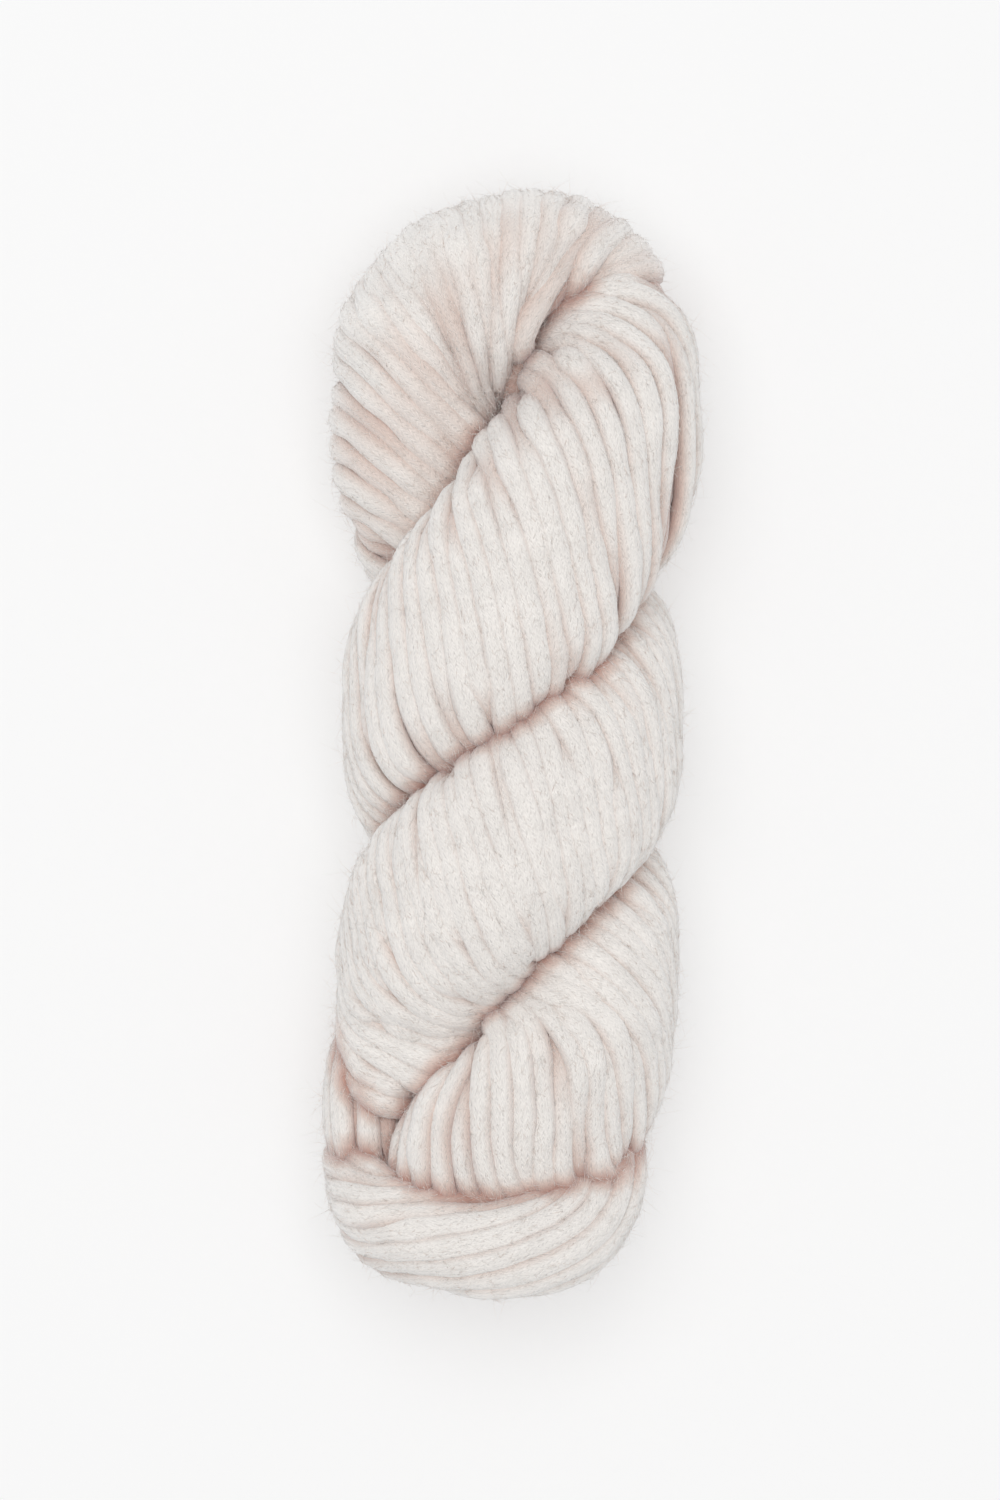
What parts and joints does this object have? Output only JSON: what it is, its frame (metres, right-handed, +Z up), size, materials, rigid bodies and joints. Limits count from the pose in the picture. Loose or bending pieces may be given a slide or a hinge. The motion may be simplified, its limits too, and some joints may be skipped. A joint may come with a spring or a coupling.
{
  "type": "twisted yarn hank",
  "caption": "Twisted hank of bulky soft yarn: two bundles of strands laid round each other, folded over at one end and held at the other by the loop of one bundle.",
  "frame": {"origin": "centre of the box at the surface that the hank rests on", "axes": "+Y along the hank toward the folded end, +Z up from the surface"},
  "size_m": [0.0944, 0.2709, 0.0679],
  "materials": {
    "yarn": "soft, slightly fuzzy"
  },
  "bodies": {
    "root": {"hank": "yarn"}
  },
  "joints": []
}
